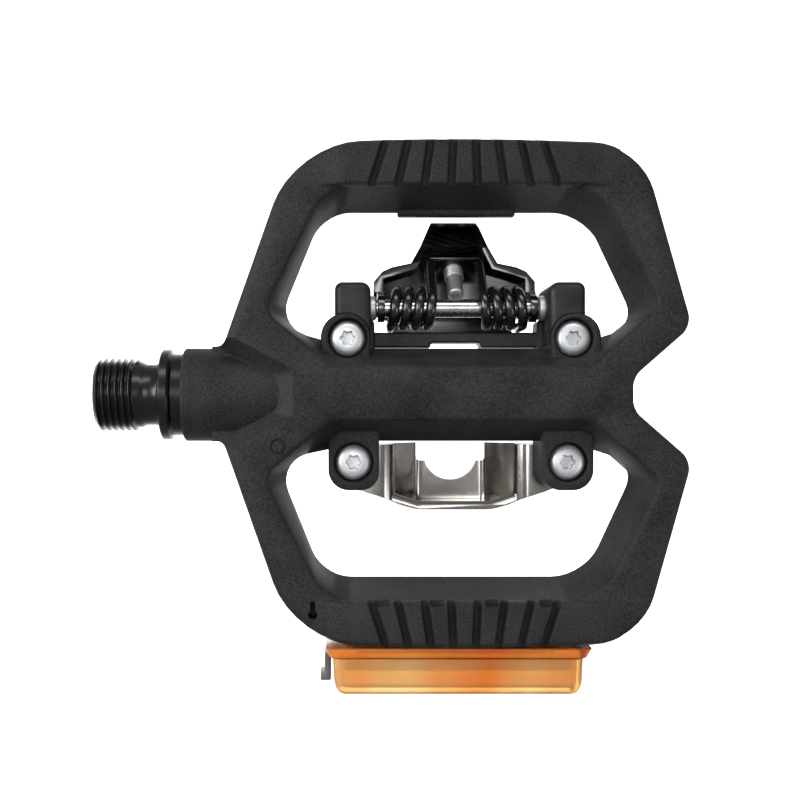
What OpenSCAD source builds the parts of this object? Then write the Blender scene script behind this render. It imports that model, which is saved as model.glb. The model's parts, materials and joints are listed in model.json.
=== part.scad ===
// Clipless pedal for a bicycle: flat platform on one side, two-bolt cleat mechanism on the other.
// +X runs outboard along the spindle from the crank seat, +Y towards the sprung jaw,
// and +Z out of the flat side. Everything but the spindle group turns about the X axis.

/* [Platform] */
// Distance from the crank seat to the middle of the cleat mechanism
mech_x = 58; // [56:0.5:62]
// Distance from the mechanism's middle to the cage's inboard shoulder
cage_in = 44.6; // [41:0.1:56]
// Distance from the mechanism's middle to the cage's outboard tips
cage_out = 42.3; // [39:0.1:52]
// Overall size of the cage from its front bar to its rear bar
platform_l = 96.4; // [94:0.1:120]
// Thickness of the cage
body_t = 20; // [18:0.1:25]
// Width of the front and rear bars at their faces
bar_w = 9.3; // [8:0.1:12]
// How far each bar's tread stands above the cage
tread_h = 1.2; // [0.8:0.1:2]
// Number of grooves across each bar
groove_n = 8; // [4:1:10]
// Width of a groove
groove_w = 1.6; // [1:0.1:2.2]
// Half the barrel's width at its face
barrel_flat = 5.3; // [4:0.1:7]
// How far the window's walls reach in at half thickness
window_draft = 3.2; // [2:0.1:4]

/* [Spindle] */
// Diameter of the crank thread
thread_d = 14.288; // [12:0.001:15]
// Length of the crank thread
thread_l = 9; // [8:0.1:14]
// Length of the relief between thread and flange
relief_l = 3.7; // [2:0.1:6]
// Diameter of the spindle flange
flange_d = 17.8; // [16:0.1:22]
// Thickness of the spindle flange
flange_t = 2.1; // [1.5:0.1:4]
// Width across flats of the socket in the spindle's end
socket_af = 8; // [6:1:8]
// Diameter of the journal under the needle rollers
journal_d = 9; // [8:0.1:10]
// Diameter of the seat under the ball bearings
seat_d = 8; // [7:0.1:8.4]
// Distance from the crank seat to the outboard ball bearing's far face
bearing_end = 54; // [46:0.5:60]

/* [Sleeve and bearings] */
// Wall of the needle bearing's drawn cup
cup_wall = 0.5; // [0.4:0.1:0.8]
// Wall of the axle sleeve around that cup
sleeve_wall = 0.8; // [0.6:0.1:1.5]
// Height of the sleeve's collar above the sleeve
collar_step = 0.7; // [0.5:0.1:1.5]
// Wall of the cage's barrel around the sleeve's thread
barrel_wall = 1.5; // [1.4:0.1:3]
// Diameter of a needle roller
roller_d = 1.5; // [1.2:0.1:1.6]
// Number of needle rollers
roller_n = 14; // [8:1:16]
// Length of the needle bearing
needle_l = 10; // [8:0.5:12]
// Outside diameter of a ball bearing
bearing_d = 12; // [11.8:0.1:12.4]
// Width of a ball bearing
bearing_w = 3.5; // [3:0.1:4]
// Diameter of a bearing ball
ball_d = 1.4; // [1.2:0.05:1.6]
// Number of balls in each bearing
ball_n = 11; // [8:1:12]

/* [Screws] */
// Diameter of the fixing screws' shanks
screw_d = 4; // [3:0.5:5]
// Diameter of their heads
head_d = 6.9; // [6.5:0.1:8]
// Height of their heads
head_h = 2.2; // [1.6:0.1:3]
// Distance of the rear screws from the mechanism's middle
rear_screw_x = 21.8; // [20.8:0.1:23]
// Distance of the rear screws from the spindle axis
rear_screw_y = 10.8; // [10.6:0.1:12]
// Distance of the front screws from the mechanism's middle
front_screw_x = 20.65; // [20:0.05:22]
// Distance of the front screws from the spindle axis
front_screw_y = 13.15; // [12.5:0.05:14.5]

/* [Mechanism] */
// Distance of the jaw pin from the spindle axis
pin_y = 17.3; // [16.8:0.1:18.5]
// Depth of the jaw pin under the cage's middle plane
pin_drop = 3; // [2.5:0.1:3.5]
// Diameter of the jaw pin
pin_d = 3.6; // [3:0.1:4]
// Depth of the cleat faces under the cage's middle plane
cleat_drop = 16.1; // [15:0.1:18]
// Thickness of the lips that hold a cleat
lip_t = 2.5; // [2:0.1:3.5]
// Diameter of the spring wire
wire_d = 2; // [1.6:0.1:2.2]
// Mean diameter of the spring coils
coil_d = 6.8; // [6.2:0.1:7.4]
// Angle between the tension bolt and the cage's plane
bolt_tilt = 43; // [38:1:48]
// Diameter of the tension bolt's thread
bolt_d = 4; // [3:0.1:5]

/* [Reflector] */
// Width of the reflector's lens
lens_w = 48.2; // [40:0.1:56]
// How far the lens stands out
lens_h = 7.1; // [6:0.1:12]
// Height of the lens
lens_t = 15; // [12:0.1:18]

/* [Hidden] */
$fn = 64;
// Clearances: running fit, loose fit, and the gap between unrelated pieces
run_gap = 0.03;
fit_gap = 0.05;
free_gap = 0.3;
over = 1; // how far a cutter runs past the face that it opens
long = 40; // longer than anything it is cut from

// Spindle stations, measured from the crank seat
thread_end = -relief_l - thread_l;
collar_x = flange_t + free_gap;
collar_t = 2;
body_x = collar_x + collar_t;
seal_l = 2.5;
seal_x = collar_x + free_gap;
needle_x = 7;
bearing_x2 = bearing_end - bearing_w;
spacer_l = 3;
bearing_x1 = bearing_x2 - spacer_l - bearing_w;
washer_t = 1;
nut_h = 4;
spindle_end = bearing_end + washer_t + nut_h + 0.8;
sleeve_end = spindle_end + 0.6;
sleeve_thread_l = 9;
bearing_step = 0.6; // how far the sleeve's bore narrows in front of the ball bearings
cup_d = journal_d + 2 * (roller_d + cup_wall);
sleeve_d = max(cup_d, bearing_d + 1) + 2 * sleeve_wall;
collar_d = sleeve_d + 2 * collar_step;
sleeve_thread_d = sleeve_d + 0.6;
barrel_d = sleeve_thread_d + 2 * barrel_wall;
nut_thread_d = seat_d - 1;
seal_land_d = journal_d + 2;
seal_d = seal_land_d + 2.5;
pitch_r = (seat_d + bearing_d) / 4;
race_gap = 0.8; // between the inner and outer races, half of it on each side of the pitch circle

// Cage outline, measured from the mechanism's middle
half_l = platform_l / 2;
half_t = body_t / 2;
window_y = half_l - bar_w;
bow = 0.8;
bar_r_in = 18;
bar_r_out = 12.5;
flank = barrel_d / 2;
side_lean = 12.7;
tip_lean = 8.7;
tip_y = 12.8;
notch_back = 10.1;
valley_t = 4.4;

// Mechanism levels and places
pin_z = -pin_drop;
lip_z = -cleat_drop;
jaw_bottom = lip_z - lip_t;
lug_top = 5;
head_top = 4.5;
head_gap = 0.4;
coil_r = coil_d / 2;
wire_r = wire_d / 2;
spring_in = 4;
cheek_in = 17.3;
ear_t = 1.4;
collar_w = 1.3;
ear_out = cheek_in - collar_w - 0.2;
ear_in = ear_out - ear_t;
spring_out = ear_in - free_gap;
boss_r = 4.35;
wall_gap = 0.4; // between the frame's cheeks and the window's wall where that reaches furthest in
foot_tuck = 1.1; // how far the feet tuck in under that wall
foot_bottom = -half_t;
foot_top = foot_bottom + 5.7;
claw_top = -6.5;
claw_t = 3;
jaw_wall = 1.8;
bolt_len = 13.1;
tail_d = 3.2;
tail_l = 4.5;
nut_at = 7.5;
nut_t = 2.5;
bolt_dir = [cos(bolt_tilt), -sin(bolt_tilt)];
bolt_up = [sin(bolt_tilt), cos(bolt_tilt)];
tail_at = [pin_y + 2.7, pin_z - 1.5];
seat_at = tail_at + bolt_len * bolt_dir;
carrier_t = 2.2;
tongue_l = 2.9; // how far the reflector's tongue reaches into the bar
tongue_half = 3.7;
tongue_in = 5;
plate_gap = 0.2; // between the bar and the reflector's plate
reflector_drop = 0.5;
reflector_aside = 0.6;
lens_wall = 1.6;

// ---- shared shapes ----

function unit(v) = v / norm(v);

// The arc that rounds corner b, which lies between a and c, with radius r
function corner(a, b, c, r) =
    let (
        u = unit(a - b),
        v = unit(c - b),
        half = acos(u * v) / 2,
        mid = b + unit(u + v) * r / sin(half),
        p = b + u * r / tan(half) - mid,
        q = b + v * r / tan(half) - mid,
        from = atan2(p.y, p.x),
        turn = (atan2(q.y, q.x) - from + 540) % 360 - 180,
        n = max(2, ceil(abs(turn) / 8))
    )
    r <= 0 ? [b] : [for (i = [0:n]) mid + r * [cos(from + turn * i / n), sin(from + turn * i / n)]];

// A closed outline from corners [x, y, radius]
function rounded(p) = [
    for (i = [0:len(p) - 1])
        let (a = p[(i + len(p) - 1) % len(p)], b = p[i], c = p[(i + 1) % len(p)])
        each corner([a.x, a.y], [b.x, b.y], [c.x, c.y], b[2])
];

function flipped(p) = [for (i = [len(p) - 1:-1:0]) [p[i].x, -p[i].y, p[i][2]]];
function mirrored(p) = [for (i = [len(p) - 1:-1:0]) [-p[i].x, p[i].y]];

module x_cyl(d, x0, x1, d2) {
    translate([x0, 0, 0]) rotate([0, 90, 0]) cylinder(d1 = d, d2 = is_undef(d2) ? d : d2, h = x1 - x0);
}

module x_ring(outer, inner, x0, x1) {
    difference() {
        x_cyl(outer, x0, x1);
        x_cyl(inner, x0 - over, x1 + over);
    }
}

// A [y, z] outline extruded along X
module yz_prism(points, x0, x1) {
    translate([x0, 0, 0]) rotate([90, 0, 90]) linear_extrude(x1 - x0) polygon(points);
}

// An [x, z] outline extruded along Y
module xz_prism(points, y0, y1) {
    translate([0, y1, 0]) rotate([90, 0, 0]) linear_extrude(y1 - y0) polygon(points);
}

module block(x0, x1, y0, y1, z0, z1) {
    translate([x0, y0, z0]) cube([x1 - x0, y1 - y0, z1 - z0]);
}

module at_mech() {
    translate([mech_x, 0, 0]) children();
}

module both_sides() {
    for (side = [0, 1]) mirror([side, 0, 0]) children();
}

module about_pin() {
    translate([0, pin_y, pin_z]) children();
}

// Local +Z runs along the tension bolt, from its tail to its head
module along_bolt() {
    translate([0, tail_at.x, tail_at.y]) rotate([-90 - bolt_tilt, 0, 0]) children();
}

// ---- spindle group ----

module spindle() {
    neck_d = thread_d - 2.3;
    lead = 0.7;
    flange_bevel = 0.4;
    end_lead = 0.5;
    socket_l = 7;
    journal_end = needle_x + needle_l + 1;
    color("#1b1b1d") difference() {
        union() {
            x_cyl(thread_d - 2 * lead, thread_end, thread_end + lead, thread_d);
            x_cyl(thread_d, thread_end + lead, -relief_l);
            x_cyl(neck_d, -relief_l, 0);
            x_cyl(flange_d, 0, flange_t - flange_bevel);
            x_cyl(flange_d, flange_t - flange_bevel, flange_t, flange_d - 2 * flange_bevel);
            x_cyl(seal_land_d, flange_t, seal_x + seal_l + free_gap);
            x_cyl(journal_d, flange_t, journal_end);
            x_cyl(journal_d, journal_end, bearing_x1, seat_d + 0.8);
            x_cyl(seat_d, flange_t, bearing_end);
            x_cyl(nut_thread_d, bearing_end - over, spindle_end - end_lead);
            x_cyl(nut_thread_d, spindle_end - end_lead, spindle_end, nut_thread_d - 2 * end_lead);
        }
        translate([thread_end - over, 0, 0]) rotate([0, 90, 0])
            cylinder(d = socket_af / cos(30), h = socket_l + over, $fn = 6);
    }
}

module bearing_groove() {
    translate([bearing_w / 2, 0, 0]) rotate([0, 90, 0])
        rotate_extrude() translate([pitch_r, 0]) circle(d = ball_d + 2 * run_gap, $fn = 32);
}

module races(outer, inner) {
    for (x = [bearing_x1, bearing_x2]) translate([x, 0, 0]) difference() {
        x_ring(outer, inner, 0, bearing_w);
        bearing_groove();
    }
}

module inner_races() {
    color("#b8bcc2") races(2 * pitch_r - race_gap, seat_d);
}

module outer_races() {
    color("#b8bcc2") races(bearing_d, 2 * pitch_r + race_gap);
}

module bearing_balls() {
    color("#d8dade") for (x = [bearing_x1, bearing_x2], i = [0:ball_n - 1])
        rotate([i * 360 / ball_n, 0, 0]) translate([x + bearing_w / 2, pitch_r, 0])
            sphere(d = ball_d, $fn = 24);
}

module bearing_spacer() {
    wall = 0.7;
    color("#8c8f94") x_ring(seat_d + 2 * wall, seat_d, bearing_x1 + bearing_w, bearing_x2);
}

module spindle_washer() {
    rim = 0.8;
    color("#9a9da3")
        x_ring(seat_d + 2 * rim, nut_thread_d + 2 * fit_gap, bearing_end, bearing_end + washer_t);
}

module spindle_lock_nut() {
    nut_x = bearing_end + washer_t;
    nut_af = seat_d + 1;
    color("#8c8f94") difference() {
        translate([nut_x, 0, 0]) rotate([0, 90, 0])
            cylinder(d = nut_af / cos(30), h = nut_h, $fn = 6);
        x_cyl(nut_thread_d, nut_x - over, nut_x + nut_h + over);
    }
}

// ---- sleeve and bearings that turn with the cage ----

module axle_sleeve() {
    bore_from = needle_x + needle_l;
    color("#2a2b2e") difference() {
        union() {
            x_cyl(collar_d, collar_x, body_x);
            x_cyl(sleeve_thread_d, body_x - over, body_x + sleeve_thread_l);
            x_cyl(sleeve_d, body_x, sleeve_end);
        }
        x_cyl(seal_d, collar_x - over, seal_x + seal_l);
        x_cyl(cup_d, seal_x + seal_l - over, bore_from);
        x_cyl(bearing_d - 2 * bearing_step, bore_from - over, bearing_x1 + over);
        x_cyl(bearing_d, bearing_x1, sleeve_end + over);
    }
}

module lip_seal() {
    skin = 0.5;
    seal_lip = 0.4;
    floor_t = 0.9;
    color("#151515") difference() {
        x_ring(seal_d, seal_land_d + 2 * run_gap, seal_x, seal_x + seal_l);
        x_ring(seal_d - 2 * skin, seal_land_d + 2 * seal_lip, seal_x - over, seal_x + seal_l - floor_t);
    }
}

module needle_cup() {
    mouth_gap = 0.2;
    color("#a8acb2") difference() {
        x_cyl(cup_d, needle_x, needle_x + needle_l);
        x_cyl(journal_d + 2 * mouth_gap, needle_x - over, needle_x + needle_l + over);
        x_cyl(cup_d - 2 * cup_wall, needle_x + cup_wall, needle_x + needle_l - cup_wall);
    }
}

module needle_rollers() {
    end_gap = 0.7;
    length = needle_l - 2 * end_gap;
    color("#cfd2d6") for (i = [0:roller_n - 1])
        rotate([i * 360 / roller_n, 0, 0]) translate([0, (journal_d + roller_d) / 2, 0])
            x_cyl(roller_d - 2 * run_gap, needle_x + end_gap, needle_x + end_gap + length);
}

// ---- cage ----

// Corners of the cage from its barrel's rear edge round to the outboard notch
cage_side = [
    [-cage_in - 3.2, barrel_d / 2, 0],
    [-cage_in - 0.8, barrel_d / 2, 2],
    [-cage_in + side_lean, half_l - bow, bar_r_in],
    [0, half_l + 0.2, 450],
    [cage_out - tip_lean, half_l - bow - 0.2, bar_r_out],
    [cage_out + 1, tip_y, 4],
    [cage_out - notch_back, 3.1, 4]
];

// The rear window at the cage's faces, and at its middle plane where the walls reach furthest in
window_face = [
    [-cage_in + 19.6, barrel_flat, 1],
    [-cage_in + 7, 15.6, 3.5],
    [-cage_in + 18.7, window_y, 8],
    [cage_out - 16.5, window_y, 11],
    [cage_out - 5.3, 16.6, 3],
    [cage_out - 18.2, barrel_flat, 1]
];
window_waist = [
    [-cage_in + 24.1, flank, 1],
    [-cage_in + 8.9, flank + 4.2, 5.5],
    [-cage_in + 18, window_y - window_draft, 8],
    [cage_out - 17.6, window_y - window_draft, 10],
    [cage_out - 7.3, flank + 4.5, 4.5],
    [cage_out - 21.3, flank, 1]
];

module window_half(top) {
    hull() {
        linear_extrude(0.01) polygon(rounded(window_waist));
        translate([0, 0, top]) linear_extrude(tread_h + over) polygon(rounded(window_face));
    }
}

module windows() {
    for (flip = [0, 1], under = [0, 1])
        mirror([0, flip, 0]) mirror([0, 0, under]) window_half(half_t);
}

// Raised tread on one bar, with sloping ends
module tread() {
    run_in = cage_in - 15;
    run_out = cage_out - 12;
    end_slope = 6;
    top = half_t + tread_h;
    intersection() {
        xz_prism([[-run_in, 0], [run_out, 0], [run_out - end_slope, top], [-run_in + end_slope, top]],
                 window_y, half_l);
        translate([0, 0, -over]) linear_extrude(top + 2 * over)
            polygon(rounded(concat(cage_side, flipped(cage_side))));
    }
}

// Grooves that fan out towards the window
module grooves() {
    outer_pitch = 4;
    inner_pitch = 5.12;
    for (i = [0:groove_n - 1]) {
        step = i - (groove_n - 1) / 2;
        y0 = window_y - over;
        y1 = half_l + over;
        x0 = step * inner_pitch;
        x1 = step * outer_pitch;
        translate([0, 0, half_t]) linear_extrude(tread_h + over)
            polygon([[x0 - groove_w / 2, y0], [x0 + groove_w / 2, y0],
                     [x1 + groove_w / 2, y1], [x1 - groove_w / 2, y1]]);
    }
}

module front_lug() {
    w = 4.9;
    bottom = claw_top;
    outline = [
        [front_screw_x - w, 0, 0],
        [front_screw_x - w, -front_screw_y - 5.4, 3.5],
        [front_screw_x + w, -front_screw_y - 5.4, 4],
        [front_screw_x + w, 0, 0]
    ];
    translate([0, 0, bottom]) linear_extrude(lug_top - bottom) polygon(rounded(outline));
}

module rear_boss() {
    neck_y = rear_screw_y - 1.6;
    translate([0, 0, foot_top]) linear_extrude(lug_top - foot_top) {
        translate([rear_screw_x, rear_screw_y]) circle(r = boss_r);
        translate([rear_screw_x - boss_r, 0]) square([2 * boss_r, neck_y]);
    }
}

module screw_hole(x, y, bottom) {
    translate([x, y, 0]) {
        translate([0, 0, bottom - over]) cylinder(d = screw_d + free_gap, h = lug_top - bottom + 2 * over);
        translate([0, 0, head_top - head_h]) cylinder(d = head_d + 2 * head_gap, h = head_h + 2 * over);
    }
}

// Valley between the inboard arms, where the barrel lies lower than the platform
module arm_valley(depth) {
    start = -cage_in - 4.2;
    mouth = barrel_d / 2 + 0.3;
    waist = barrel_d / 2 - 0.3;
    end = 3.5;
    difference() {
        translate([start, 0, half_t - depth]) linear_extrude(depth + over)
            polygon([[0, -mouth], [3.8, -waist], [14.4, -end], [14.4, end], [3.8, waist], [0, mouth]]);
        x_cyl(barrel_d - 0.2, start - over, start + 16);
    }
}

// Low lip inside the rear bar, at the mould's parting line
module bar_lip() {
    from_x = -12;
    to_x = 11;
    half_h = 1.2;
    lip_y = window_y - window_draft - 0.6;
    block(from_x, to_x, lip_y, window_y - 1, -half_h, half_h);
}

// Pocket for the reflector's tongue, and the small keyed hole beside the front treads
module bar_pockets() {
    hole_d = 1.2;
    key_w = 0.6;
    key_l = 2.4;
    depth = 4;
    block(-lens_w / 2 + tongue_in - over, lens_w / 2 - tongue_in + over, -half_l - over,
          -half_l + tongue_l + free_gap, -tongue_half - free_gap, tongue_half + free_gap);
    translate([-28.4, -half_l + 7.4, half_t - depth]) linear_extrude(depth + over) {
        circle(d = hole_d);
        translate([-key_w / 2, 0]) square([key_w, key_l]);
    }
}

module pedal_body() {
    color("#2f3032") difference() {
        union() {
            at_mech() {
                translate([0, 0, -half_t]) linear_extrude(body_t)
                    polygon(rounded(concat(cage_side, flipped(cage_side))));
                for (flip = [0, 1], under = [0, 1]) mirror([0, flip, 0]) mirror([0, 0, under]) tread();
            }
            x_cyl(barrel_d, body_x, mech_x - cage_in + 4);
        }
        at_mech() {
            difference() {
                windows();
                both_sides() {
                    front_lug();
                    rear_boss();
                }
                bar_lip();
            }
            for (flip = [0, 1], under = [0, 1]) mirror([0, flip, 0]) mirror([0, 0, under]) grooves();
            for (under = [0, 1]) mirror([0, 0, under]) arm_valley(valley_t);
            both_sides() {
                screw_hole(front_screw_x, -front_screw_y, claw_top);
                screw_hole(rear_screw_x, rear_screw_y, foot_top);
            }
            bar_pockets();
        }
        x_cyl(sleeve_d + 2 * fit_gap, body_x - over, sleeve_end + over);
        x_cyl(sleeve_thread_d + 2 * fit_gap, body_x - over, body_x + sleeve_thread_l + 0.5);
    }
}

// ---- rear mechanism ----

module rear_cheek() {
    outer = rear_screw_x + 2.5;
    cheek_top = 4;
    cheek_back = pin_y + 4.5;
    foot_rim = 1;
    difference() {
        union() {
            block(cheek_in, outer, flank + wall_gap, cheek_back, foot_bottom, cheek_top);
            block(cheek_in - foot_rim, outer + foot_rim, flank - foot_tuck, rear_screw_y + 4.4,
                  foot_bottom, foot_top);
        }
        translate([rear_screw_x, rear_screw_y, foot_top]) cylinder(r = boss_r + free_gap, h = long);
        translate([rear_screw_x, rear_screw_y, foot_bottom - over]) cylinder(d = screw_d, h = long);
        about_pin() x_cyl(pin_d, cheek_in - over, outer - 1);
    }
}

module rear_frame() {
    bar_top = -5;
    bar_y = pin_y - coil_r - wire_r - free_gap;
    bar_y0 = rear_screw_y - 1.2;
    notch_half = 5;
    notch_t = 1;
    color("#232426") at_mech() {
        both_sides() rear_cheek();
        difference() {
            block(-cheek_in, cheek_in, bar_y0, bar_y, foot_bottom, bar_top);
            block(-notch_half, notch_half, bar_y0 - over, bar_y0 + notch_t,
                  foot_bottom - over, bar_top + over);
        }
    }
}

module jaw_pin() {
    length = rear_screw_x + 1.4;
    color("#c9ccd0") at_mech() about_pin() x_cyl(pin_d, -length, length);
}

module pin_collars() {
    wall = 0.7;
    color("#d0d3d7") at_mech() both_sides() about_pin()
        x_ring(pin_d + 2 * wall, pin_d, cheek_in - collar_w, cheek_in);
}

// Half plans of the jaw's outside and of its hollow, from the middle out, as [half width, y]
lip_half = 13.1;
hood_half = 4.6;
hood_y = seat_at.x + jaw_wall * bolt_dir.x + 6.9 * bolt_up.x;
jaw_plan = [
    [lip_half, pin_y - 4.4], [lip_half, pin_y - 1.4], [ear_out, pin_y], [ear_out + 0.6, pin_y + 2],
    [ear_out + 0.6, pin_y + 5.9], [14.6, pin_y + 8], [12.6, pin_y + 8.9], [8.8, pin_y + 9.7],
    [6.9, pin_y + 13.1], [hood_half, hood_y + 0.1]
];
jaw_hollow = [
    [ear_in, pin_y - 8], [ear_in, pin_y + 6.4], [11.5, pin_y + 7.4], [7.6, pin_y + 8.5],
    [5.6, pin_y + 13], [hood_half - 1.3, hood_y + 2]
];
// Side profiles of the same, as [y, z]
wall_low = seat_at - 3.9 * bolt_up;
jaw_profile = [
    [pin_y - 4.4, jaw_bottom], [pin_y + 0.2, jaw_bottom], wall_low + jaw_wall * bolt_dir,
    seat_at + jaw_wall * bolt_dir + 6.9 * bolt_up, seat_at + 6.9 * bolt_up,
    [pin_y + 7.2, pin_z - 4.2], [pin_y + 3.7, pin_z - 4.2], [pin_y + 0.7, pin_z - 7],
    [pin_y - 1.8, pin_z - 10], [pin_y - 4.4, lip_z]
];
hollow_profile = [
    [pin_y - 8, lip_z], [pin_y - 0.3, lip_z], wall_low + 0.9 * bolt_up, seat_at + 8.5 * bolt_up,
    [pin_y + 7.2, 5], [pin_y - 8, 5]
];

module jaw_ear() {
    round_r = 2.8;
    leg_l = 11;
    about_pin() x_cyl(2 * round_r, ear_in, ear_out);
    block(ear_in, ear_out, pin_y - 1.2, pin_y + 3.4, pin_z - leg_l, pin_z);
}

module jaw() {
    color("#4a4b4e") at_mech() difference() {
        union() {
            difference() {
                intersection() {
                    yz_prism(jaw_profile, -ear_out - 1, ear_out + 1);
                    translate([0, 0, jaw_bottom - over]) linear_extrude(long)
                        polygon(concat(jaw_plan, mirrored(jaw_plan)));
                }
                intersection() {
                    yz_prism(hollow_profile, -ear_out - 1, ear_out + 1);
                    translate([0, 0, jaw_bottom - over]) linear_extrude(long)
                        polygon(concat(jaw_hollow, mirrored(jaw_hollow)));
                }
            }
            both_sides() jaw_ear();
        }
        about_pin() x_cyl(pin_d + 2 * run_gap, -ear_out - over, ear_out + over);
        along_bolt() translate([0, 0, bolt_len - over]) cylinder(d = bolt_d + 2 * run_gap, h = long);
    }
}

// A wire swept along path: each ring is square to the wire and has one side square to X
wire_sides = 8;
function wire_ring(p, along) =
    let (n = unit(cross([1, 0, 0], along)), m = cross(unit(along), n))
    [for (k = [0:wire_sides - 1])
        let (a = 360 * k / wire_sides) p + wire_r * (n * cos(a) + m * sin(a))];

module wire(path) {
    last = len(path) - 1;
    rings = [for (i = [0:last]) wire_ring(path[i], path[min(i + 1, last)] - path[max(i - 1, 0)])];
    n = wire_sides;
    sides = [for (i = [0:last - 1], k = [0:n - 1])
        [i * n + k, i * n + (k + 1) % n, (i + 1) * n + (k + 1) % n, (i + 1) * n + k]];
    ends = [[for (k = [n - 1:-1:0]) k], [for (k = [0:n - 1]) last * n + k]];
    polyhedron([for (r = rings) each r], concat(sides, ends));
}

// Coil from the frame's bar, round the pin, to a leg that lies along the tension bolt
spring_from = 180;
spring_to = 90 - bolt_tilt - 3 * 360;
spring_steps = 54;
foot_leg = 6;
bolt_leg = 10;
spring_x0 = spring_out - wire_r;
spring_x1 = spring_in + wire_r;
function coil_at(t) =
    let (a = spring_from + (spring_to - spring_from) * t)
    [spring_x0 + (spring_x1 - spring_x0) * t, coil_r * cos(a), coil_r * sin(a)];
spring_path = concat(
    [coil_at(0) - [0, 0, foot_leg]],
    [for (i = [0:spring_steps]) coil_at(i / spring_steps)],
    [coil_at(1) + bolt_leg * [0, bolt_dir.x, bolt_dir.y]]
);

module spring() {
    about_pin() wire(spring_path);
}

module left_spring() {
    color("#0e0e0f") at_mech() mirror([1, 0, 0]) spring();
}

module right_spring() {
    color("#0e0e0f") at_mech() spring();
}

module tension_bolt() {
    bolt_head_d = 5.8;
    bolt_head_h = 2.4;
    wall_out = bolt_len + jaw_wall;
    tail_socket_d = 1.6;
    tail_socket_l = 1.4;
    key_af = 3;
    key_l = 1.8;
    color("#d4d6da") at_mech() along_bolt() difference() {
        union() {
            cylinder(d = tail_d, h = tail_l);
            translate([0, 0, tail_l]) cylinder(d = bolt_d, h = wall_out - tail_l);
            translate([0, 0, wall_out]) cylinder(d = bolt_head_d, h = bolt_head_h);
        }
        translate([0, 0, -over]) cylinder(d = tail_socket_d, h = tail_socket_l + over);
        translate([0, 0, wall_out + bolt_head_h - key_l])
            cylinder(d = key_af / cos(30), h = key_l + over, $fn = 6);
    }
}

module tension_nut() {
    half_w = 5.7;
    top_half_w = 5;
    low = 2.8;
    waist = -1;
    top = -3.6;
    color("#5a5c60") at_mech() along_bolt() difference() {
        translate([0, 0, nut_at]) linear_extrude(nut_t)
            polygon([[-half_w, low], [half_w, low], [half_w, waist], [top_half_w, top],
                     [-top_half_w, top], [-half_w, waist]]);
        translate([0, 0, nut_at - over]) cylinder(d = bolt_d + 2 * run_gap, h = nut_t + 2 * over);
    }
}

// ---- front claw ----

nose_y = front_screw_y - 1.35;
nose_r = 5.6;
gap_half = 7.2;
claw_y = front_screw_y + 10.2;
claw_plan = [
    [front_screw_x + 3.9, -front_screw_y + 3.6], [front_screw_x + 3.9, -front_screw_y - 4],
    [front_screw_x - 2.2, -front_screw_y - 6.6], [13.5, -claw_y + 2], [11, -claw_y + 0.9],
    [7.6, -claw_y]
];
claw_inner = [
    [30, 5], [30, -front_screw_y - 3.4], [front_screw_x - 2.4, -front_screw_y - 4.8],
    [13.1, -claw_y + 3.9], [10.5, -claw_y + 2.8], [7.2, -claw_y + 1.9]
];
claw_side = [
    [8.3, jaw_bottom], [14.6, claw_top - claw_t], [30, claw_top - claw_t], [30, claw_top],
    [13.1, claw_top], [7.2, lip_z]
];

module front_claw() {
    color("#8b8a8a") at_mech() difference() {
        intersection() {
            translate([0, 0, jaw_bottom]) linear_extrude(claw_top - jaw_bottom)
                polygon(concat(claw_plan, mirrored(claw_plan)));
            union() {
                xz_prism(concat(claw_side, mirrored(claw_side)), -claw_y - over, 0);
                difference() {
                    block(-16, 16, -claw_y - over, -front_screw_y, jaw_bottom, claw_top - 1);
                    translate([0, 0, lip_z]) linear_extrude(long)
                        polygon(concat(claw_inner, mirrored(claw_inner)));
                }
            }
        }
        translate([0, -nose_y, jaw_bottom - over]) cylinder(r = nose_r, h = long);
        block(-gap_half, gap_half, -nose_y - 1.6, 0, jaw_bottom - over, 0);
        both_sides() translate([front_screw_x, -front_screw_y, -long / 2]) cylinder(d = screw_d, h = long);
    }
}

// ---- screws ----

// A pan-head screw with a six-lobed recess, its shank ending at bottom
module pan_screw(bottom) {
    lobe_at = 1.45;
    lobe_r = 0.42;
    recess_t = 1.5;
    rim_t = 0.7;
    rim_in = 0.8;
    difference() {
        union() {
            translate([0, 0, head_top - head_h]) cylinder(d = head_d, h = head_h - rim_t);
            translate([0, 0, head_top - rim_t]) cylinder(d1 = head_d, d2 = head_d - 2 * rim_in, h = rim_t);
            translate([0, 0, bottom]) cylinder(d = screw_d, h = head_top - head_h - bottom);
        }
        translate([0, 0, head_top - recess_t]) linear_extrude(recess_t + over) {
            circle(r = lobe_at * 0.8);
            for (i = [0:5]) rotate(i * 60) translate([lobe_at, 0]) circle(r = lobe_r, $fn = 24);
        }
    }
}

module rear_screws() {
    color("#c4c7cb") at_mech() both_sides()
        translate([rear_screw_x, rear_screw_y, 0]) pan_screw(foot_bottom + 0.5);
}

module front_screws() {
    color("#c4c7cb") at_mech() both_sides()
        translate([front_screw_x, -front_screw_y, 0]) pan_screw(claw_top - claw_t + 0.3);
}

// ---- reflector ----

module lens_box(inset, y0, y1) {
    corner_r = 2.5;
    w = lens_w / 2 - inset;
    t = lens_t / 2 - inset;
    r = corner_r - inset / 2;
    corners = [[-w, -t, r], [w, -t, r], [w, t, r], [-w, t, r]];
    xz_prism(rounded(corners), y0, y1);
}

module at_reflector() {
    translate([mech_x - reflector_aside, -half_l - plate_gap, -reflector_drop]) children();
}

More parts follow.
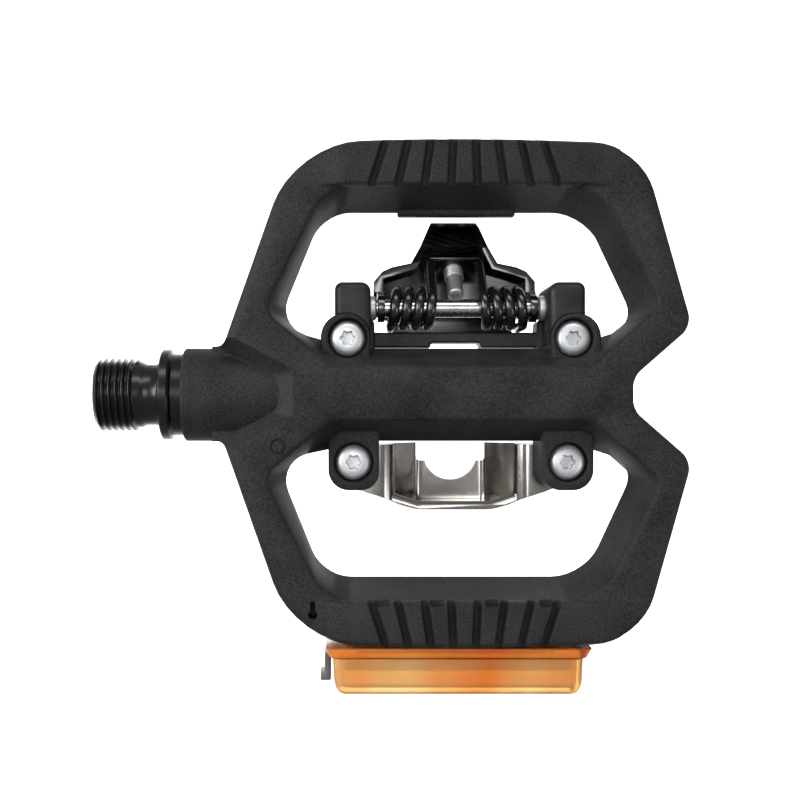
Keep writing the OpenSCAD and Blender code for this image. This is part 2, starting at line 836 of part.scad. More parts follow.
module reflector_carrier() {
    plate_w = lens_w / 2 + 1.5;
    plate_t = lens_t / 2 + 0.4;
    r = 2;
    corners = [
        [-plate_w, -plate_t, r], [plate_w, -plate_t, r], [plate_w, plate_t, r], [-plate_w, plate_t, r]
    ];
    color("#c4561a") at_reflector() {
        xz_prism(rounded(corners), -carrier_t, 0);
        block(-lens_w / 2 + tongue_in, lens_w / 2 - tongue_in, -plate_gap, tongue_l + plate_gap,
              reflector_drop - tongue_half, reflector_drop + tongue_half);
    }
}

module reflex_insert() {
    side_gap = 0.8;
    prism_t = 3.2;
    color("#e8924a") at_reflector() lens_box(lens_wall + side_gap, -carrier_t - prism_t, -carrier_t);
}

module reflector_lens() {
    color("#e07a1f") at_reflector() difference() {
        lens_box(0, -carrier_t - lens_h, -carrier_t);
        lens_box(lens_wall, -carrier_t - lens_h + lens_wall, -carrier_t + over);
    }
}

module reflector_latch() {
    latch_t = 1.3;
    latch_l = 5;
    latch_half = 3;
    hook_t = 0.8;
    hook_l = 1.4;
    x0 = -lens_w / 2 - latch_t - free_gap;
    low_y = -carrier_t - latch_l;
    color("#8a8c8e") at_reflector() {
        block(x0, x0 + latch_t, low_y, -carrier_t, -latch_half, latch_half);
        block(x0 - hook_t, x0, low_y, low_y + hook_l, -latch_half, latch_half);
    }
}

spindle();
axle_sleeve();
lip_seal();
needle_cup();
needle_rollers();
inner_races();
outer_races();
bearing_balls();
bearing_spacer();
spindle_washer();
spindle_lock_nut();
pedal_body();
rear_frame();
jaw();
jaw_pin();
pin_collars();
left_spring();
right_spring();
tension_bolt();
tension_nut();
front_claw();
rear_screws();
front_screws();
reflector_carrier();
reflex_insert();
reflector_lens();
reflector_latch();
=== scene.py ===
# %% [markdown]
# # A clipless pedal, flat side up
# A touring pedal is two pedals in one. This side is a flat cage for ordinary shoes, and the far
# side carries a sprung jaw and a fixed claw for a cleat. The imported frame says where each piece
# is, so this lesson only makes the pieces look like what they are. Sizes are in millimetres
# here, and mm() turns them into the metres that Blender works in.

# %% Load the frame
import json
from math import acos, cos, pi, radians, sin, tan

import bmesh
import bpy
from mathutils import Matrix, Vector

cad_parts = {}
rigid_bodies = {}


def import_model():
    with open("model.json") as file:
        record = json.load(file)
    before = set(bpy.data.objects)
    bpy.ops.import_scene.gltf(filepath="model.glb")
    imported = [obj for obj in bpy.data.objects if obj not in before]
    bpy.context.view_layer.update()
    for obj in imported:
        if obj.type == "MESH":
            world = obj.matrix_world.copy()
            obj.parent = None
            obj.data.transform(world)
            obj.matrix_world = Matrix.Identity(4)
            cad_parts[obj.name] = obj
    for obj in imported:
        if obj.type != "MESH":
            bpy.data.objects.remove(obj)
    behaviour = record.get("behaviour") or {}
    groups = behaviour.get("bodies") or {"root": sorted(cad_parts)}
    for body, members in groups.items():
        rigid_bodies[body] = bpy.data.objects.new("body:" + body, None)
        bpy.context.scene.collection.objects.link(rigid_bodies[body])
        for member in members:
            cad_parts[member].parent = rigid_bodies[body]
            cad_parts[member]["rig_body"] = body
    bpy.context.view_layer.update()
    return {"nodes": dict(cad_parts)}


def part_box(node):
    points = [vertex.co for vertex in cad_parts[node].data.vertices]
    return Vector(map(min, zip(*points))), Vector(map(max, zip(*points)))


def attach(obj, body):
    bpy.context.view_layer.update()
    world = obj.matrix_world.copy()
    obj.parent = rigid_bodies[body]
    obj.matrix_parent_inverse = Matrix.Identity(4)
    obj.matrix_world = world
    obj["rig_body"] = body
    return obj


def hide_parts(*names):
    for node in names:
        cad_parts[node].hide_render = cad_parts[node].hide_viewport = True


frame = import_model()
cad = frame["nodes"]
MM = 0.001
WELD = 2e-6  # metres: vertices closer than this become one


def mm(x, y, z):
    return Vector((x, y, z)) * MM


def node_box(node):
    low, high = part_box(node)
    return low / MM, high / MM


print("pieces in the frame:", len(cad))

# %% [markdown]
# ## The sizes that everything follows
# A maker measures the frame before cutting anything. The jaw pin's box gives the middle of the
# cleat mechanism, and the cage's box gives its ends, its width and its treads.

# %% Measure the frame
cage_high = node_box("pedal_body")[1]
pin_low, pin_high = node_box("jaw_pin")
MECH_X = (pin_low.x + pin_high.x) / 2
PIN_Y = (pin_low.y + pin_high.y) / 2
PIN_Z = (pin_low.z + pin_high.z) / 2
HALF_L = cage_high.y
TREAD_TOP = cage_high.z
TREAD_H = 1.2
HALF_T = TREAD_TOP - TREAD_H
BAR_W = 9.3
WINDOW_DRAFT = 3.2
WINDOW_Y = 48.2 - BAR_W
CAGE_IN = 44.6
CAGE_OUT = 42.3
BARREL_R = 9.1
BARREL_FLAT = 5.3
print(f"mechanism at X {MECH_X:.1f}, pin at Y {PIN_Y:.1f} Z {PIN_Z:.1f}, cage half length {HALF_L:.1f}")

# %% [markdown]
# ## Helpers that bend, turn and cut
# Four ways of making a solid are enough for this object. A loft joins outlines that lie at
# different heights, as a moulder's pattern does. A turned piece is a profile spun about an axis,
# as on a lathe. A swept piece is a spin that also climbs, which gives threads and springs. A
# boolean cuts one solid with another, as a drill or a cutter would.


# %% Outlines with rounded corners
def corner_turn(before, here, after):
    """Half a corner's angle, whether it points outwards on a left-turning outline, and its middle way."""
    u = (Vector(before[:2]) - Vector(here[:2])).normalized()
    v = (Vector(after[:2]) - Vector(here[:2])).normalized()
    convex = u.x * v.y - u.y * v.x < 0
    return acos(max(-1, min(1, u.dot(v)))) / 2, convex, (u + v).normalized()


def grown(corners, by):
    """The same outline with every side moved outwards by this much, or inwards if it is negative."""
    moved = []
    for i, here in enumerate(corners):
        half, convex, inward = corner_turn(corners[i - 1], here, corners[(i + 1) % len(corners)])
        sign = -1 if convex else 1
        shift = inward * sign * by / sin(half)
        radius = max(here[2] - sign * by, 0.05) if here[2] else 0
        moved.append((here[0] + shift.x, here[1] + shift.y, radius))
    return moved


def add_outline(bm, corners, z, segments=8):
    """Draws one flat face at height z and rounds each corner (x, y, radius) with a vertex bevel."""
    verts = [bm.verts.new(mm(x, y, z)) for x, y, _ in corners]
    face = bm.faces.new(verts)
    for i, (here, vert) in enumerate(zip(corners, verts)):
        if here[2]:
            half = corner_turn(corners[i - 1], here, corners[(i + 1) % len(corners)])[0]
            bmesh.ops.bevel(bm, geom=[vert], offset=here[2] / tan(half) * MM, offset_type="OFFSET",
                            segments=segments, profile=0.5, affect="VERTICES", material=-1)
    bm.faces.ensure_lookup_table()
    return bm.faces[-1] if not face.is_valid else face


def loft(levels, segments=8):
    """A closed solid through outlines [(corners, z), ...], which all have the same corners."""
    bm = bmesh.new()
    rings = []
    for corners, z in levels:
        known = set(bm.edges)
        known_faces = set(bm.faces)
        add_outline(bm, corners, z, segments)
        rings.append(([e for e in bm.edges if e not in known],
                      [f for f in bm.faces if f not in known_faces]))
    for _, faces in rings[1:-1]:
        bmesh.ops.delete(bm, geom=faces, context="FACES_ONLY")
    for (lower, _), (upper, _) in zip(rings, rings[1:]):
        bmesh.ops.bridge_loops(bm, edges=lower + upper)
    bmesh.ops.recalc_face_normals(bm, faces=bm.faces[:])
    return bm


# %% Turned and swept solids
def turned(profile, steps=72):
    """A solid of (along, radius) points spun about the X axis. It starts and ends on the axis."""
    bm = bmesh.new()
    verts = [bm.verts.new(mm(x, r, 0)) for x, r in profile]
    edges = [bm.edges.new(pair) for pair in zip(verts, verts[1:])]
    bmesh.ops.spin(bm, geom=verts + edges, cent=(0, 0, 0), axis=(1, 0, 0), dvec=(0, 0, 0),
                   angle=2 * pi, steps=steps, use_merge=True)
    bmesh.ops.remove_doubles(bm, verts=bm.verts[:], dist=WELD)
    bmesh.ops.recalc_face_normals(bm, faces=bm.faces[:])
    return bm


def thread_ridge(start, end, root, crest, pitch, steps_per_turn=40):
    """The ridge of a screw thread: one flattened V that climbs along X as it spins."""
    bm = bmesh.new()
    section = [(-0.47, root - 0.12), (-0.07, crest), (0.07, crest), (0.47, root - 0.12)]
    verts = [bm.verts.new(mm(start + a * pitch, r, 0)) for a, r in section]
    face = bm.faces.new(verts)
    turns = (end - start) / pitch
    steps = int(turns * steps_per_turn)
    bmesh.ops.spin(bm, geom=[face, *face.edges, *face.verts], cent=(0, 0, 0), axis=(1, 0, 0),
                   dvec=(turns * pitch / steps * MM, 0, 0), angle=2 * pi * turns, steps=steps)
    bmesh.ops.recalc_face_normals(bm, faces=bm.faces[:])
    return bm


def joined(*solids):
    """Several shells in one bmesh."""
    result = bmesh.new()
    for solid in solids:
        mesh = bpy.data.meshes.new("shell")
        solid.to_mesh(mesh)
        solid.free()
        result.from_mesh(mesh)
        bpy.data.meshes.remove(mesh)
    return result


def moved(bm, by=(0, 0, 0), turn=0, axis="Z"):
    """Turns a solid about an axis through the origin and then moves it, in millimetres."""
    bmesh.ops.rotate(bm, cent=(0, 0, 0), matrix=Matrix.Rotation(turn, 3, axis), verts=bm.verts[:])
    bmesh.ops.translate(bm, vec=mm(*by), verts=bm.verts[:])
    return bm


def mirrored(bm, about_x=None, about_y=None, about_z=None):
    """A mirror image of a solid in the plane at this X, Y or Z, as a new bmesh."""
    copy = bm.copy()
    for axis, place in enumerate((about_x, about_y, about_z)):
        if place is not None:
            scale = [1, 1, 1]
            scale[axis] = -1
            shift = [0, 0, 0]
            shift[axis] = -place * MM
            bmesh.ops.scale(copy, vec=scale, space=Matrix.Translation(shift), verts=copy.verts[:])
            bmesh.ops.reverse_faces(copy, faces=copy.faces[:])
    return copy


# %% Booleans and the finished piece
def as_object(bm, name):
    mesh = bpy.data.meshes.new(name)
    bm.to_mesh(mesh)
    bm.free()
    thing = bpy.data.objects.new(name, mesh)
    bpy.context.scene.collection.objects.link(thing)
    return thing


def boolean(bm, tool, operation):
    """Cuts bm with tool, or joins them, and gives the result as a new bmesh."""
    base, cutter = as_object(bm, "base"), as_object(tool, "cutter")
    change = base.modifiers.new("cut", "BOOLEAN")
    change.object, change.operation, change.solver = cutter, operation, "EXACT"
    result = bmesh.new()
    result.from_object(base, bpy.context.evaluated_depsgraph_get())
    for thing in (base, cutter):
        mesh = thing.data
        bpy.data.objects.remove(thing)
        bpy.data.meshes.remove(mesh)
    return result


def finished(bm, name, node, material, smooth=35):
    """Puts a solid in place of a CAD node, on that node's body, with its material and smooth shading."""
    bmesh.ops.remove_doubles(bm, verts=bm.verts[:], dist=1e-6)
    piece = as_object(bm, name)
    piece.data.materials.clear()
    piece.data.materials.append(material)
    piece.data.shade_smooth()
    piece.data.set_sharp_from_angle(angle=radians(smooth))
    body = cad[node]["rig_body"]
    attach(piece, body)
    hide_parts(node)
    print(f"{name}: {len(piece.data.polygons)} faces, rides on {body}")
    return piece


def deburred(node, width, segments=2, limit=32):
    """A copy of a CAD node with its coplanar triangles joined and its sharp edges broken."""
    bm = bmesh.new()
    bm.from_mesh(cad[node].data)
    bmesh.ops.remove_doubles(bm, verts=bm.verts[:], dist=WELD)
    bmesh.ops.dissolve_limit(bm, angle_limit=radians(1), verts=bm.verts[:], edges=bm.edges[:])
    sharp = [e for e in bm.edges if len(e.link_faces) == 2 and e.calc_face_angle(0) > radians(limit)]
    bmesh.ops.bevel(bm, geom=sharp, offset=width * MM, offset_type="OFFSET", segments=segments,
                    profile=0.5, affect="EDGES", clamp_overlap=True, material=-1)
    return bm


# %% [markdown]
# ## Materials
# The real finishes are few: a glass-filled nylon cage with a fine moulded grain, black-plated
# steel, dark nickel, bright zinc, ground bearing steel, rubber and amber plastic. Each one is
# built from noise on Object coordinates, so the grain keeps its real size on every piece, and
# each has its own roughness and bump. A small Bevel node rounds the edges that the light sees.


# %% Node helpers
def start_material(name):
    material = bpy.data.materials.new(name)
    material.use_nodes = True
    tree = material.node_tree
    shader = tree.nodes["Principled BSDF"]
    coords = tree.nodes.new("ShaderNodeTexCoord").outputs["Object"]
    return material, tree, shader, coords


def noise(tree, coords, size, detail=3, stretch=(1, 1, 1)):
    """Noise whose blotches are about this many millimetres across."""
    mapping = tree.nodes.new("ShaderNodeMapping")
    mapping.inputs["Scale"].default_value = stretch
    tree.links.new(coords, mapping.inputs["Vector"])
    texture = tree.nodes.new("ShaderNodeTexNoise")
    texture.inputs["Scale"].default_value = 1 / (size * MM)
    texture.inputs["Detail"].default_value = detail
    tree.links.new(mapping.outputs["Vector"], texture.inputs["Vector"])
    return texture.outputs["Fac"]


def ramp(tree, value, stops):
    """Maps a value to colours or greys, given as [(place, colour), ...]."""
    node = tree.nodes.new("ShaderNodeValToRGB")
    elements = node.color_ramp.elements
    for element, (place, colour) in zip(elements, (stops[0], stops[-1])):
        element.position = place
        element.color = (*colour, 1)
    for place, colour in stops[1:-1]:
        elements.new(place).color = (*colour, 1)
    tree.links.new(value, node.inputs["Fac"])
    return node.outputs["Color"]


def spread(tree, value, low, high, from_low=0.3, from_high=0.7):
    """Stretches a value from its usual middle range to low..high."""
    node = tree.nodes.new("ShaderNodeMapRange")
    node.inputs["From Min"].default_value = from_low
    node.inputs["From Max"].default_value = from_high
    node.inputs["To Min"].default_value = low
    node.inputs["To Max"].default_value = high
    tree.links.new(value, node.inputs["Value"])
    return node.outputs["Result"]


def bump(tree, value, depth, strength=1.0, normal=None):
    node = tree.nodes.new("ShaderNodeBump")
    node.inputs["Distance"].default_value = depth * MM
    node.inputs["Strength"].default_value = strength
    tree.links.new(value, node.inputs["Height"])
    if normal is not None:
        tree.links.new(normal, node.inputs["Normal"])
    return node.outputs["Normal"]


def rounded_normal(tree, radius):
    node = tree.nodes.new("ShaderNodeBevel")
    node.samples = 4
    node.inputs["Radius"].default_value = radius * MM
    return node.outputs["Normal"]


# %% [markdown]
# ### Moulded nylon
# The cage is glass-filled nylon from a spark-eroded mould. It is charcoal, not black, with a
# grain of about a third of a millimetre, and shoes polish and scuff it in larger, softer patches.


# %% Cage nylon
def moulded_nylon(name, dark, light, rough=(0.5, 0.66)):
    material, tree, shader, coords = start_material(name)
    grain = noise(tree, coords, 0.34, 4)
    patches = noise(tree, coords, 9, 3)
    mix = tree.nodes.new("ShaderNodeMix")
    mix.data_type = "FLOAT"
    mix.inputs["Factor"].default_value = 0.35
    tree.links.new(grain, mix.inputs["A"])
    tree.links.new(patches, mix.inputs["B"])
    colour = ramp(tree, mix.outputs["Result"], [(0.36, dark), (0.66, light)])
    tree.links.new(colour, shader.inputs["Base Color"])
    tree.links.new(spread(tree, patches, *rough), shader.inputs["Roughness"])
    tree.links.new(bump(tree, grain, 0.09, 0.8, rounded_normal(tree, 0.6)), shader.inputs["Normal"])
    shader.inputs["Specular IOR Level"].default_value = 0.16  # dull, so that the white floor does not grey it
    return material


NYLON = moulded_nylon("cage_nylon", (0.007, 0.0072, 0.0071), (0.034, 0.035, 0.034))
print("made", NYLON.name)

# %% [markdown]
# ### Metals
# Plated steel is never one flat grey. Drawing and rolling leave fine lines, handling leaves
# small scratches, and the plating is cloudy. Stretched noise makes the lines and round noise
# the clouds.


# %% Plated and ground metals
def metal(name, dark, light, rough, lines=(1, 1, 1), grain=0.5, depth=0.004, metallic=1.0, coat=0.0,
          shine=0.5):
    material, tree, shader, coords = start_material(name)
    clouds = noise(tree, coords, 3.5, 4)
    scratches = noise(tree, coords, grain, 5, lines)
    tree.links.new(ramp(tree, clouds, [(0.3, dark), (0.7, light)]), shader.inputs["Base Color"])
    tree.links.new(spread(tree, scratches, *rough), shader.inputs["Roughness"])
    tree.links.new(bump(tree, scratches, depth, 0.6, rounded_normal(tree, 0.25)), shader.inputs["Normal"])
    shader.inputs["Metallic"].default_value = metallic
    shader.inputs["Coat Weight"].default_value = coat
    shader.inputs["Coat Roughness"].default_value = 0.12
    shader.inputs["Specular IOR Level"].default_value = shine
    return material


BLACK_STEEL = metal("black_plated_steel", (0.003, 0.003, 0.003), (0.009, 0.009, 0.009), (0.2, 0.34),
                    (1, 6, 6), metallic=0.0, coat=0.1, depth=0.001, shine=0.35)
BLACK_SLEEVE = metal("black_anodised_sleeve", (0.004, 0.004, 0.004), (0.01, 0.01, 0.01), (0.22, 0.36),
                     (1, 6, 6), metallic=0.0, shine=0.3)
BLACK_CAST = metal("black_painted_casting", (0.007, 0.007, 0.007), (0.02, 0.02, 0.02), (0.4, 0.56), grain=0.3,
                   depth=0.03, metallic=0.0, shine=0.3)
SPRING_BLACK = metal("black_spring_wire", (0.003, 0.003, 0.003), (0.008, 0.008, 0.008), (0.16, 0.3), grain=0.7,
                     metallic=0.0, coat=0.3)
DARK_NICKEL = metal("dark_nickel", (0.1, 0.097, 0.093), (0.135, 0.131, 0.126), (0.15, 0.25), (3, 1, 1),
                    depth=0.0015)
CLAW_NICKEL = metal("polished_claw_nickel", (0.34, 0.32, 0.3), (0.4, 0.375, 0.355), (0.11, 0.18), (3, 1, 1),
                    depth=0.0015)
ZINC = metal("bright_zinc", (0.55, 0.56, 0.57), (0.68, 0.69, 0.7), (0.38, 0.54), grain=0.6, depth=0.004,
             metallic=0.8)
PIN_STEEL = metal("ground_pin_steel", (0.5, 0.5, 0.51), (0.68, 0.68, 0.69), (0.18, 0.3), (1, 8, 8))
BEARING_STEEL = metal("ground_bearing_steel", (0.55, 0.56, 0.58), (0.72, 0.73, 0.75), (0.1, 0.2), (1, 8, 8))
SEAL_RUBBER = metal("seal_rubber", (0.012, 0.012, 0.012), (0.025, 0.025, 0.025), (0.6, 0.75), metallic=0.0)
LATCH_GREY = metal("latch_grey_nylon", (0.05, 0.052, 0.055), (0.16, 0.165, 0.17), (0.4, 0.55), metallic=0.0,
                   depth=0.02)
print("metals and darks:", sum(m.users == 0 for m in bpy.data.materials), "waiting for their pieces")

# %% [markdown]
# ### Amber plastic
# A reflector's lens is clear amber acrylic over a field of small prisms, which throw a lamp's
# light straight back. Clear plastic seen at a shallow angle looks milky, so the lens is part
# transmission and part soft colour.


# %% Amber lens and prisms
def amber(name, dark, light, transmission, rough):
    material, tree, shader, coords = start_material(name)
    clouds = noise(tree, coords, 17, 2, (1, 0.3, 0.3))
    tree.links.new(ramp(tree, clouds, [(0.34, dark), (0.62, light)]), shader.inputs["Base Color"])
    ripples = noise(tree, coords, 1.6, 2)
    tree.links.new(spread(tree, ripples, *rough), shader.inputs["Roughness"])
    tree.links.new(bump(tree, ripples, 0.02, 0.4, rounded_normal(tree, 0.4)), shader.inputs["Normal"])
    shader.inputs["Transmission Weight"].default_value = transmission
    shader.inputs["IOR"].default_value = 1.49
    return material


AMBER_LENS = amber("amber_lens_acrylic", (0.95, 0.33, 0.045), (1.0, 0.68, 0.28), 0.62, (0.1, 0.22))
AMBER_BASE = amber("amber_base_acrylic", (0.78, 0.16, 0.02), (0.93, 0.3, 0.05), 0.55, (0.12, 0.24))
AMBER_PRISMS = amber("amber_prisms", (0.9, 0.4, 0.08), (1.0, 0.62, 0.2), 0.15, (0.05, 0.12))
print("made", AMBER_LENS.name, AMBER_BASE.name, AMBER_PRISMS.name)

# %% [markdown]
# ## The cage
# The cage is one moulding: a barrel round the axle, two swept arms at each end and two treaded
# bars. Its outline comes from a few corners with their radii. A loft through slightly smaller
# outlines near both faces gives the broad soft chamfer, and the window walls lean in to half
# thickness because a two-part mould needs that draft to open.

# %% The cage's solid
cage_half = [
    (-CAGE_IN - 3.2, BARREL_R, 0),
    (-CAGE_IN - 0.8, BARREL_R, 2),
    (-CAGE_IN + 12.7, HALF_L - 0.75, 18),
    (0, HALF_L + 0.25, 450),
    (CAGE_OUT - 8.7, HALF_L - 0.95, 12.5),
    (CAGE_OUT + 1, 12.8, 4),
    (CAGE_OUT - 10.1, 3.1, 4),
]


def whole_outline(half):
    """The half outline, and its mirror image back to the start, turning left."""
    return [(x, -y, r) for x, y, r in half] + [(x, y, r) for x, y, r in reversed(half)]


CAGE = whole_outline(cage_half)
edge_steps = [(-1.6, HALF_T), (-0.85, HALF_T - 0.3), (-0.3, HALF_T - 0.85), (0, HALF_T - 1.7)]
levels = [(grown(CAGE, by), -z) for by, z in edge_steps]
levels += [(grown(CAGE, by), z) for by, z in reversed(edge_steps)]
cage = moved(loft(levels), (MECH_X, 0, 0))
print("cage solid:", len(cage.faces), "faces")


# %% Windows with drafted walls and soft rims
def outline_flip(corners):
    """Mirrors an outline in Y and keeps it turning left."""
    return [(x, -y, r) for x, y, r in reversed(corners)]


window_face = [
    (-CAGE_IN + 19.6, BARREL_FLAT, 1), (CAGE_OUT - 18.2, BARREL_FLAT, 1), (CAGE_OUT - 5.3, 16.6, 3),
    (CAGE_OUT - 16.5, WINDOW_Y, 11), (-CAGE_IN + 18.7, WINDOW_Y, 8), (-CAGE_IN + 7, 15.6, 3.5),
]
window_waist = [
    (-CAGE_IN + 24.1, BARREL_R, 1), (CAGE_OUT - 21.3, BARREL_R, 1), (CAGE_OUT - 7.3, 13.6, 4.5),
    (CAGE_OUT - 17.6, WINDOW_Y - WINDOW_DRAFT, 10), (-CAGE_IN + 18, WINDOW_Y - WINDOW_DRAFT, 8),
    (-CAGE_IN + 8.9, 13.3, 5.5),
]
rim = [(2.2, HALF_T + 1.8), (0.9, HALF_T + 0.05), (0.32, HALF_T - 0.28), (0, HALF_T - 0.8)]


def window_cutter(face, waist):
    below = [(grown(face, by), -z) for by, z in rim]
    above = [(grown(face, by), z) for by, z in reversed(rim)]
    return moved(loft(below + [(waist, 0)] + above, 7), (MECH_X, 0, 0))


windows = joined(window_cutter(window_face, window_waist),
                 window_cutter(outline_flip(window_face), outline_flip(window_waist)))
cage = boolean(cage, windows, "DIFFERENCE")
print("cage with windows:", len(cage.faces), "faces")

# %% [markdown]
# ## Barrel, lugs, bosses and treads
# What stands out of the cage is made on its own and then joined to it: the barrel round the
# axle, two lugs for the claw's screws, two bosses for the rear frame's screws, and a raised
# tread on each bar and each face.

# %% Barrel, lugs and bosses
LUG_TOP = 5
LUG_BOTTOM, BOSS_BOTTOM = -6.5, -4.3
FRONT_SCREW = (20.65, -13.15)
REAR_SCREW = (21.8, 10.8)
barrel = turned([(4.4, 0), (4.4, BARREL_R - 0.35), (4.75, BARREL_R), (MECH_X - CAGE_IN + 1, BARREL_R),
                 (MECH_X - CAGE_IN + 8, BARREL_R - 1.5), (MECH_X - CAGE_IN + 8, 0)], 96)
lug_outline = [(15.75, -18.55, 3.5), (25.55, -18.55, 4), (25.55, -7, 0), (15.75, -7, 0)]
boss_outline = [(17.45, 5, 0), (27, 5, 0), (27, 15.6, 4.6), (17.45, 15.6, 4.6)]


def standing(outline, bottom, top, edge=0.5):
    """A post with a softened top edge."""
    return loft([(outline, bottom), (outline, top - edge), (grown(outline, -0.3 * edge), top - 0.3 * edge),
                 (grown(outline, -edge), top)])


lugs = [moved(standing(lug_outline, LUG_BOTTOM, LUG_TOP), (MECH_X, 0, 0)),
        moved(standing(boss_outline, BOSS_BOTTOM, LUG_TOP), (MECH_X, 0, 0))]
lugs += [mirrored(lug, about_x=MECH_X) for lug in lugs]
print("lugs and bosses:", len(lugs))

# %% Treads
PAST_BAR = 49.5  # treads and their cutters run out to here, past the bar's outer face
tread_base = [(-28.6, 38.9, 1), (29.3, 38.9, 1), (29.3, 49, 0), (0, PAST_BAR, 0), (-28.6, 49, 0)]
tread_top = [(-23.4, 39.3, 1), (24.2, 39.3, 1), (24.2, 49, 0), (0, PAST_BAR, 0), (-23.4, 49, 0)]
tread = moved(loft([(tread_base, HALF_T - 1), (tread_base, HALF_T - 0.05),
                    (tread_top, TREAD_TOP - 0.1), (grown(tread_top, -0.25), TREAD_TOP)]), (MECH_X, 0, 0))
trim = moved(loft([(grown(CAGE, -0.3), HALF_T - 2), (grown(CAGE, -0.3), HALF_T - 0.4),
                   (grown(CAGE, -0.7), HALF_T + 0.6), (grown(CAGE, -1.4), TREAD_TOP + 0.3)]), (MECH_X, 0, 0))
tread = boolean(tread, trim, "INTERSECT")
treads = [tread, mirrored(tread, about_y=0)]
treads += [mirrored(t, about_z=0) for t in treads]
cage = boolean(cage, joined(barrel, *lugs, *treads), "UNION")
print("cage with its standing parts:", len(cage.faces), "faces")

# %% [markdown]
# ## Cuts in the cage
# Grooves fan out across each tread so that a wet sole keys into them. The screws sit in
# counterbores, the axle sleeve in a stepped bore, and the reflector's tongue in a pocket. A
# shallow valley between the inboard arms takes the barrel down below the platform.

# %% Grooves and tread notches
GROOVES = 8
IN_BAR = 37.5  # cutters start here, on the window's side of the bar
tools = []
for i in range(GROOVES):
    step = i - (GROOVES - 1) / 2
    inner, outer = step * 5.12, step * 4.0
    lower, upper = [[(inner - half, IN_BAR, 0), (inner + half, IN_BAR, 0),
                     (outer + half, PAST_BAR, 0), (outer - half, PAST_BAR, 0)] for half in (0.5, 0.95)]
    tools.append(moved(loft([(lower, HALF_T - 0.35), (upper, TREAD_TOP + 0.4)]), (MECH_X, 0, 0)))
tools += [mirrored(t, about_y=0) for t in tools]
tools += [mirrored(t, about_z=0) for t in tools]
cage = boolean(cage, joined(*tools), "DIFFERENCE")
inner_notch = [(-1.3, -39.9, 0.4), (1.3, -39.9, 0.4), (1.3, -IN_BAR, 0), (-1.3, -IN_BAR, 0)]
outer_notch = [(-1.0, 46.9, 0.4), (1.0, 46.9, 0.4), (1.0, PAST_BAR, 0), (-1.0, PAST_BAR, 0)]
tools = []
for i in range(0, GROOVES - 1, 2):
    place = i + 0.5 - (GROOVES - 1) / 2
    for notch, pitch in ((inner_notch, 5.1), (outer_notch, 4.1)):
        cut = loft([(notch, HALF_T - 0.8), (notch, TREAD_TOP + 0.4)], 3)
        tools.append(moved(cut, (MECH_X + place * pitch, 0, 0)))
tools += [mirrored(t, about_z=0) for t in tools]
cage = boolean(cage, joined(*tools), "DIFFERENCE")
print("cuts in the treads:", GROOVES * 4, "grooves")


# %% Bores, counterbores, valley and pocket
def upright(solid, x, y):
    """Stands a turned solid up along Z at this place."""
    return moved(moved(solid, turn=-pi / 2, axis="Y"), (x, y, 0))


HEAD_SEAT = 2.3


def screw_bore(x, y, bottom):
    return upright(turned([(bottom, 0), (bottom, 2.15), (HEAD_SEAT, 2.15), (HEAD_SEAT, 3.85), (4.75, 3.85),
                           (5.6, 4.4), (5.6, 0)], 48), x, y)


bores = [screw_bore(MECH_X + side * FRONT_SCREW[0], FRONT_SCREW[1], -8) for side in (-1, 1)]
bores += [screw_bore(MECH_X + side * REAR_SCREW[0], REAR_SCREW[1], -6) for side in (-1, 1)]
VALLEY_FLOOR = HALF_T - 4.4


def outline_with_mirror(half):
    """A half outline on the -Y side, and its mirror image back to the start."""
    return half + [(x, -y, r) for x, y, r in reversed(half)]


valley_low = outline_with_mirror([(-3, -9.6, 0), (3, -8.8, 3), (10.7, -3, 1.5)])
valley_top = outline_with_mirror([(-3, -13.5, 0), (4.5, -11.6, 3), (18, -4.6, 1.5)])
valley_x = MECH_X - CAGE_IN - 4.2
valley_up = moved(loft([(valley_low, VALLEY_FLOOR), (valley_top, HALF_T + 1)]), (valley_x, 0, 0))
shank = turned([(valley_x - 9, 0), (valley_x - 9, BARREL_R - 0.02), (valley_x + 5, BARREL_R - 0.05),
                (valley_x + 15, BARREL_R - 1.2), (valley_x + 24, BARREL_R - 1.2), (valley_x + 24, 0)], 96)
valley_up = boolean(valley_up, shank, "DIFFERENCE")
SLOT_X, SLOT_FLOOR, ABOVE = 29.6, HALF_T - 4, HALF_T + 1
slot = upright(turned([(SLOT_FLOOR, 0), (SLOT_FLOOR, 0.85), (ABOVE, 0.85), (ABOVE, 0)], 24), SLOT_X, -41.6)
neck = [(-0.45, 0, 0), (0.45, 0, 0), (0.45, 1.9, 0.4), (-0.45, 1.9, 0.4)]
slot_neck = moved(loft([(neck, SLOT_FLOOR), (neck, ABOVE)], 4), (SLOT_X, -41.0, 0))
pocket_plan = [(-20.7, -PAST_BAR, 0), (20.7, -PAST_BAR, 0), (20.7, -45, 1), (-20.7, -45, 1)]
pocket = moved(loft([(pocket_plan, -4), (pocket_plan, 4)]), (MECH_X, 0, 0))
axle_bore = turned([(3, 0), (3, 7.65), (13.9, 7.65), (13.9, 7.35), (60.4, 7.35), (60.4, 0)], 96)
cuts = joined(*bores, valley_up, mirrored(valley_up, about_z=0), slot, pocket, axle_bore)
cage = boolean(cage, cuts, "DIFFERENCE")
cage = boolean(cage, slot_neck, "DIFFERENCE")
lip = [(-12, 34.9, 0.4), (11, 34.9, 0.4), (11, 37.9, 0), (-12, 37.9, 0)]
bar_lip = loft([(grown(lip, -0.4), -1.2), (lip, -0.7), (lip, 0.7), (grown(lip, -0.4), 1.2)])
bar_lip = moved(bar_lip, (MECH_X, 0, 0))
cage = boolean(cage, bar_lip, "UNION")
MARK_FLOOR, MARK_TOP = HALF_T - 0.25, HALF_T + 0.2
